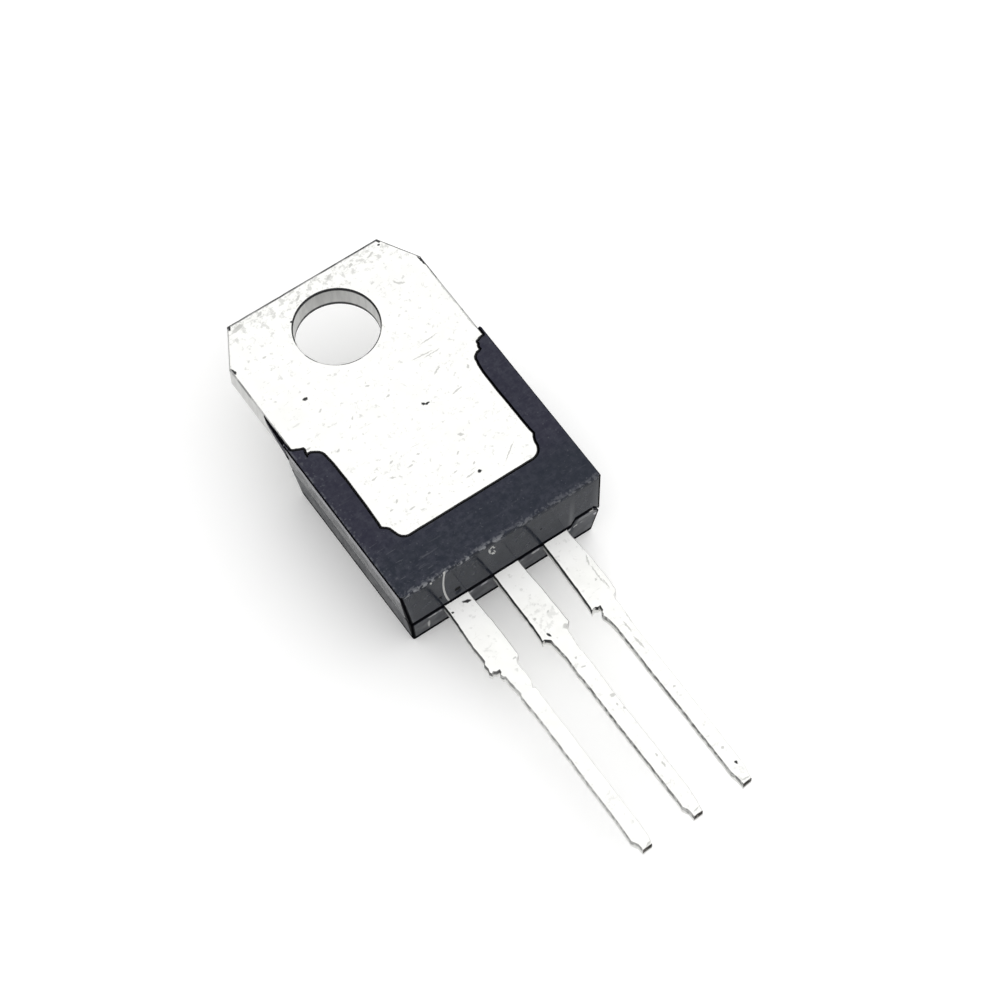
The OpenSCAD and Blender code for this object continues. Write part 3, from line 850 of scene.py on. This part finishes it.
LEAD_RIGHT = {
    "lead_gate": [(-2.3, TIP + 0.03), (-2.2, -26.2), (-2.17, -25.5), (-2.16, -21.7), (-2.14, -20.4),
                  (-2.16, -19.3), (-2.13, -18.3), (-2.15, -18.08), (-2.24, -18.05), (-2.12, -17.76),
                  (-2.1, -17.4), (-2.13, -16.76), (-2.05, -16.6), (-1.93, -16.53), (-1.87, -16.42),
                  (-1.86, -14.5), (-1.92, -13.4), (-1.92, EXIT)],
    "lead_mt2": [(0.23, TIP + 0.02), (0.32, -26.1), (0.38, -25.4), (0.39, -23.0), (0.37, -20.6),
                 (0.42, -18.8), (0.42, -17.95), (0.38, -17.72), (0.45, -17.1), (0.46, -16.8),
                 (0.51, -16.6), (0.63, -16.5), (0.74, -16.4), (0.7, -14.5), (0.64, -13.4), (0.63, EXIT)],
    "lead_mt1": [(2.72, TIP + 0.05), (2.79, -26.2), (2.86, -25.9), (2.88, -23.9), (2.89, -21.4),
                 (2.87, -18.2), (2.93, -17.5), (2.96, -17.0), (2.94, -16.7), (2.99, -16.5),
                 (3.13, -16.43), (3.21, -16.3), (3.25, -15.8), (3.24, -14.3), (3.17, -13.4),
                 (3.15, EXIT)],
}
MIDDLE_ROOT = [(0.63, -12.35)]
OUTER_ROOT = [(0.63, EXIT + 0.35), (0.4, EXIT + 0.35), (0.4, EXIT + 0.8), (1.1, EXIT + 0.8),
              (1.1, EXIT + 1.95)]
print("outline points:", {name: len(LEAD_LEFT[name] + LEAD_RIGHT[name]) for name in LEAD_LEFT})

# %% [markdown]
# ## Making the leads
# One loop makes all three from their outlines and gives the small faces at the tips their own finish. The
# middle lead's bend is a folded strip, seen from the side as a profile and pulled out to the lead's
# width. It is inside the resin, so plain corners are enough.

# %% Pieces: leads
TIP_SLOT = 2
leads = {}
for name, centre, root in (("lead_gate", -PITCH, OUTER_ROOT), ("lead_mt2", 0, MIDDLE_ROOT),
                           ("lead_mt1", PITCH, OUTER_ROOT)):
    right_root = [(centre + x, y) for x, y in root]
    left_root = [(centre - x, y) for x, y in root[::-1]]
    outline = torn(LEAD_LEFT[name] + LEAD_RIGHT[name] + right_root + left_root, 0.22, 0.03)
    mesh = blank([outline], LEAD_HIGH, LEAD_LOW, 0.035, 0.03)
    for face in mesh.faces:
        face.normal_update()
        if face.calc_center_median().y < TIP + 0.06 and abs(face.normal.y) > 0.5:
            face.material_index = TIP_SLOT
    leads[name] = solid(name + "_blade", mesh, [lead_tin, lead_side, tip_face])

BEND_PROFILE = [(-10.65, -0.77), (-11.089, -0.77), (-12.064, LEAD_HIGH), (-12.5, LEAD_HIGH),
                (-12.5, LEAD_LOW), (-11.776, LEAD_LOW), (-10.8, -TAB_THICK), (-10.65, -TAB_THICK)]
BEND_HALF = 0.628
mesh = bmesh.new()
sides = [[mesh.verts.new((x, y, z)) for y, z in BEND_PROFILE] for x in (-BEND_HALF, BEND_HALF)]
stack(mesh, sides)
join(leads["lead_mt2"], solid("bend", mesh, [lead_tin]))
print("leads:", {name: len(piece.data.polygons) for name, piece in leads.items()})

# %% [markdown]
# ## The moulding's outside
# The block comes out of a two-part mould that closes at the tops of the leads, so its walls slope inwards
# both ways from there at the ends, and along the sides they only slope towards the front. A block with a
# bevel would miss that. Instead a rounded rectangle is worked out for any height, and rings of it are
# stacked later.

# %% The moulding's outline at a height
BODY_TOP = -3.55
END_BULGE = 0.23
TAB_END_BULGE = 0.1
BODY_END = EXIT + END_BULGE
SIDE_SLOPE = math.tan(math.radians(6))
FRONT_SLOPE = math.tan(math.radians(9))
CORNER = 0.09
BODY_MIDDLE = Vector((0, -8))


def section(height):
    """The moulding's outline at a height, as about 170 points."""
    half = BODY_HALF + height * SIDE_SLOPE
    share = min(1, height / LEAD_HIGH)
    below = max(0, LEAD_HIGH - height)
    high = BODY_TOP + TAB_END_BULGE * share - FRONT_SLOPE * below
    low = BODY_END - END_BULGE * share + FRONT_SLOPE * below
    corners = [Vector(c) for c in ((half, low), (half, high), (-half, high), (-half, low))]
    points = []
    for i, corner in enumerate(corners):
        into = (corners[i - 1] - corner).normalized()
        out = (corners[(i + 1) % 4] - corner).normalized()
        for degrees in (0, 30, 60, 90):
            a = math.radians(degrees)
            points.append(corner + into * CORNER * (1 - math.sin(a)) + out * CORNER * (1 - math.cos(a)))
        start = corner + out * CORNER
        end = corners[(i + 1) % 4] - out * CORNER
        for k in range(1, 40):
            points.append(start.lerp(end, k / 40))
    return points


print("moulding outline at the back:", len(section(0)), "points")

# %% [markdown]
# ## Seam, scuffs and slots
# Three things spoil the perfect block. Where the mould's halves meet there is a fine groove, and at the
# right of the lead end this parting line climbs a little, where a bit of flash was left. The back rims
# have small dents. And the rims and the groove get the near-black finish, which is painted shade in the
# groove and along the front rim.

# %% Helpers: seam, scuffs and slots
MATTE, POLISHED, BLACK_SHADE = range(3)
CLIMB = 0.4
CLIMB_FROM = 3.35
CLIMB_TO = 4.8
OVER_LEAD = 0.75
SEAM_ON_SIDES = 0.02
SEAM_OVER_LEADS = 0.08


def climb(point):
    """How far the parting line rises at a point of the lead end."""
    if point.y > LEAD_END:
        return 0
    up = min(1, max(0, (point.x - CLIMB_FROM) / 0.22))
    down = min(1, max(0, (CLIMB_TO - point.x) / 0.2))
    return CLIMB * up * down


def scuff(point, height):
    """Small dents along the rims, deepest at the back left corner of the lead end."""
    near = max(0, 1 - (Vector((point.x + 4.9, point.y + 12.5)).length + abs(height)) / 1.2)
    return (0.008 + 0.06 * near) * abs(noise.noise(Vector((point.x * 3.1, point.y * 3.1, height * 3))))


def grooved(height, by):
    """The outline inset for the parting groove. It is deep at the ends, except over the leads, and faint
    along the sides."""
    points = []
    for point, deep in zip(section(height), inset(section(height), by)):
        share = 1
        if LEAD_END < point.y < BODY_TOP - 0.2:
            share = SEAM_ON_SIDES
        elif point.y < LEAD_END and min(abs(point.x - at) for at in (-PITCH, 0, PITCH)) < OVER_LEAD:
            share = SEAM_OVER_LEADS
        points.append(point.lerp(deep, share))
    return points


def wall_finish(face):
    """The slot of a wall face: the near-black finish on the long back rims, the front rim, the two corners
    at the lead end and in the groove. In the groove and along the front rim it is painted shade."""
    face.normal_update()
    middle = face.calc_center_median()
    corner = middle.y < LEAD_END + 0.15 and min(abs(face.normal.x), abs(face.normal.y)) > 0.2
    long_side = LEAD_END < middle.y < BODY_TOP - 0.15
    groove = not long_side and LEAD_HIGH - 0.06 < middle.z - climb(middle) < LEAD_HIGH + 0.22
    back_rim = long_side and middle.z > -0.2
    return BLACK_SHADE if groove or back_rim or corner or middle.z < FRONT + 0.4 else POLISHED


print("parting line climbs by", climb(Vector(((CLIMB_FROM + CLIMB_TO) / 2, EXIT))))

# %% [markdown]
# ## Stacking the rings
# Each ring is an inset of the outline and a height. From the back: a soft rim, the groove at the leads,
# and a rounder rim at the front. Every wall face then gets its slot, and two flat faces close the block.

# %% Piece: moulding, outside
BACK_RIM = [(0.05, 0.0), (0.015, -0.015), (0.0, -0.05), (0.0, -0.2)]
PARTING = [(0.0, 0.24), (0.02, 0.16), (0.06, 0.09), (0.2, 0.07), (0.22, 0.02), (0.2, -0.03),
           (0.03, -0.05), (0.01, -0.09)]
FRONT_RIM = [(0.0, FRONT + 0.4), (0.0, FRONT + 0.1), (0.013, FRONT + 0.05), (0.05, FRONT + 0.013),
             (0.1, FRONT)]
mesh = bmesh.new()
rings = []
for by, height in BACK_RIM:
    rings.append(ring(mesh, inset(section(height), by), height))
    for vert in rings[-1]:
        vert.co.xy += (BODY_MIDDLE - vert.co.xy).normalized() * scuff(vert.co.xy, height)
for by, above in PARTING:
    outline = grooved(LEAD_HIGH + above, by)
    rings.append([mesh.verts.new((p.x, p.y, LEAD_HIGH + above + climb(p))) for p in outline])
for by, height in FRONT_RIM:
    rings.append(ring(mesh, inset(section(height), by), height))
for upper, lower in zip(rings, rings[1:]):
    bridge(mesh, lower, upper)
for face in mesh.faces:
    face.material_index = wall_finish(face)
cap(mesh, [rings[0]], MATTE)
cap(mesh, [rings[-1]], MATTE)
resins = [resin_matte, resin_polished, resin_black_shade]
moulding = solid("moulding_body", mesh, resins)
print("moulding outside:", len(moulding.data.polygons), "faces")

# %% [markdown]
# ## The room inside the moulding
# Resin fills every space round the metal, the chip and the wires. The same shapes are therefore cut out of
# the block, so that each pocket fits its piece face to face. Round the pad's window the cutter flares out
# by a few hundredths: real resin stops short of the rim there, and leaves a hair-fine dark groove. On the
# front face an ejector pin leaves a shallow round dimple.

# %% Piece: moulding, pockets
GROOVE = 0.068
mesh = bmesh.new()
flare = [(0, -0.3), (0, -0.16), (-GROOVE, -0.06), (-GROOVE, 0.6)]
rings = [ring(mesh, inset(tab_outline, by), height) for by, height in flare]
# The flared groove's walls take the near-black finish: painted shade in the hair-fine groove.
stack(mesh, rings, BLACK_SHADE)
pockets = solid("pockets", mesh, resins)

PIN_PLACE = (0.0, -5.47)
PIN_RADIUS = 0.75
PIN_DEPTH = 0.06
pin = circle(PIN_RADIUS, 48, PIN_PLACE)
join(pockets, solid("pin", blank([pin], FRONT + PIN_DEPTH, FRONT - 0.3, 0.03, 0), [resin_matte]))
for piece in [tab, *leads.values()]:
    join(pockets, twin(piece))
for name in inside:
    join(pockets, twin(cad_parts[name], 1 / MM))
join(moulding, pockets, "DIFFERENCE")
print("moulding with its pockets:", len(moulding.data.polygons), "faces")

# %% [markdown]
# ## Resin film on the tab
# Where the mould closes on the side of the tab, a little resin leaked out. It clings to the left side as
# a thin skin, thick at the moulding and fading to nothing two millimetres up. It is one small sheet with
# real thickness, swept along the side, with a wavy lower edge.

# %% Piece: resin film
FILM_TIP = -1.9
FILM_ROOT = -3.7
FILM_STEPS = 14
CORE_STRIP = 2
mesh = bmesh.new()
rings = []
for step in range(FILM_STEPS + 1):
    share = step / FILM_STEPS
    y = FILM_TIP + (FILM_ROOT - FILM_TIP) * share
    wave = 0.06 * noise.noise(Vector((0, y * 4, 2)))
    top = 0.03 * abs(noise.noise(Vector((0, y * 5, 7)))) - 0.04
    foot = top - 0.05 - 0.3 * min(1, share * 8) - 0.85 * share - wave * share
    thick = 0.02 + 0.1 * math.sqrt(share)
    skin = [(0.02, top), (-thick * 0.7, top - 0.01), (-thick, top + (foot - top) * 0.22),
            (-thick * 0.85, top + (foot - top) * 0.72), (-thick * 0.4, foot + 0.01), (0.02, foot)]
    rings.append([mesh.verts.new((x - TAB_HALF, y, z)) for x, z in skin])
for start, end in zip(rings, rings[1:]):
    bridge(mesh, start, end, 1)
for number, face in enumerate(mesh.faces):
    if number % len(rings[0]) == CORE_STRIP:
        face.material_index = 0
mesh.faces.new(rings[0]).material_index = 1
mesh.faces.new(rings[-1]).material_index = 1
film = solid("resin_film", mesh, [resin_matte, resin_black_shade])
print("resin film:", len(film.data.polygons), "faces")

# %% [markdown]
# ## Everything into place
# The finished pieces are scaled and handed to the frame. The tab, the leads and the moulding replace their
# nodes. The chip, solder and wires keep theirs.

# %% Put the pieces into place
into_place(tab, ["header"])
for name, piece in leads.items():
    into_place(piece, [name])
into_place(moulding, ["moulding"])
into_place(film, smooth=60)

# %% [markdown]
# ## Table
# The part lies on a white sheet. The sheet's own shade comes from the light, and it has a small glow that
# only the camera and mirror reflections see, which keeps it white without lighting the object.

# %% Table
TABLE_GLOW = 0.155
TABLE_RADIUS = 1500
paper = Finish("white_sheet", Specular_IOR_Level=0.0, Roughness=0.9)
fibre = paper.ramp(grain(paper, 0.05, 3), 0.3, 0.7)
paper.feed("Base Color", paper.blend(fibre, (0.9, 0.9, 0.9), (0.89, 0.89, 0.885)))
path = paper.node("LightPath")
shown = paper.either(*(path.outputs["Is " + ray + " Ray"] for ray in ("Camera", "Glossy", "Transmission")))
paper.surface.inputs["Emission Color"].default_value = (1, 1, 1, 1)
paper.feed("Emission Strength", paper.both(shown, TABLE_GLOW))
mesh = bmesh.new()
bmesh.ops.create_circle(mesh, cap_ends=True, segments=96, radius=TABLE_RADIUS)
table = solid("table", mesh, [paper.material])
table.data.transform(Matrix.Scale(MM, 4))
table.location.z = FRONT * MM - 1e-6
print("table at", round(table.location.z / MM, 3), "mm")

# %% [markdown]
# ## Light
# The light is a big soft window high on the right, over a plain bright room. It is painted into the world
# by direction, which gives soft shadows and clean reflections in the metal without any lamp's edge. The
# camera itself sees plain white there.

# %% Light
ROOM = 0.42
WINDOW = 0.93
WINDOW_AZIMUTH = math.radians(-25)
WINDOW_HEIGHT = math.radians(57)
WINDOW_EDGE = math.cos(math.radians(80))
WINDOW_FULL = (1 + WINDOW_EDGE) / 2

world = bpy.data.worlds.new("studio")
bpy.context.scene.world = world
world.use_nodes = True
sky = Nodes(world.node_tree)
background = sky.tree.nodes["Background"]
background.inputs["Color"].default_value = (1, 1, 1, 1)
toward_window = (math.cos(WINDOW_AZIMUTH) * math.cos(WINDOW_HEIGHT),
                 math.sin(WINDOW_AZIMUTH) * math.cos(WINDOW_HEIGHT), math.sin(WINDOW_HEIGHT))
facing = sky.measure("DOT_PRODUCT", sky.node("TexCoord").outputs["Generated"], toward_window)
level = sky.ramp(facing, WINDOW_EDGE, WINDOW_FULL, ROOM, ROOM + WINDOW, easing="LINEAR")
seen = sky.node("LightPath").outputs["Is Camera Ray"]
strength = sky.node("Mix", {0: seen, 2: level, 3: 1.0}).outputs[0]
sky.tree.links.new(strength, background.inputs["Strength"])
bpy.context.scene.view_settings.view_transform = "Standard"
print("light: room", ROOM, "and window", WINDOW)
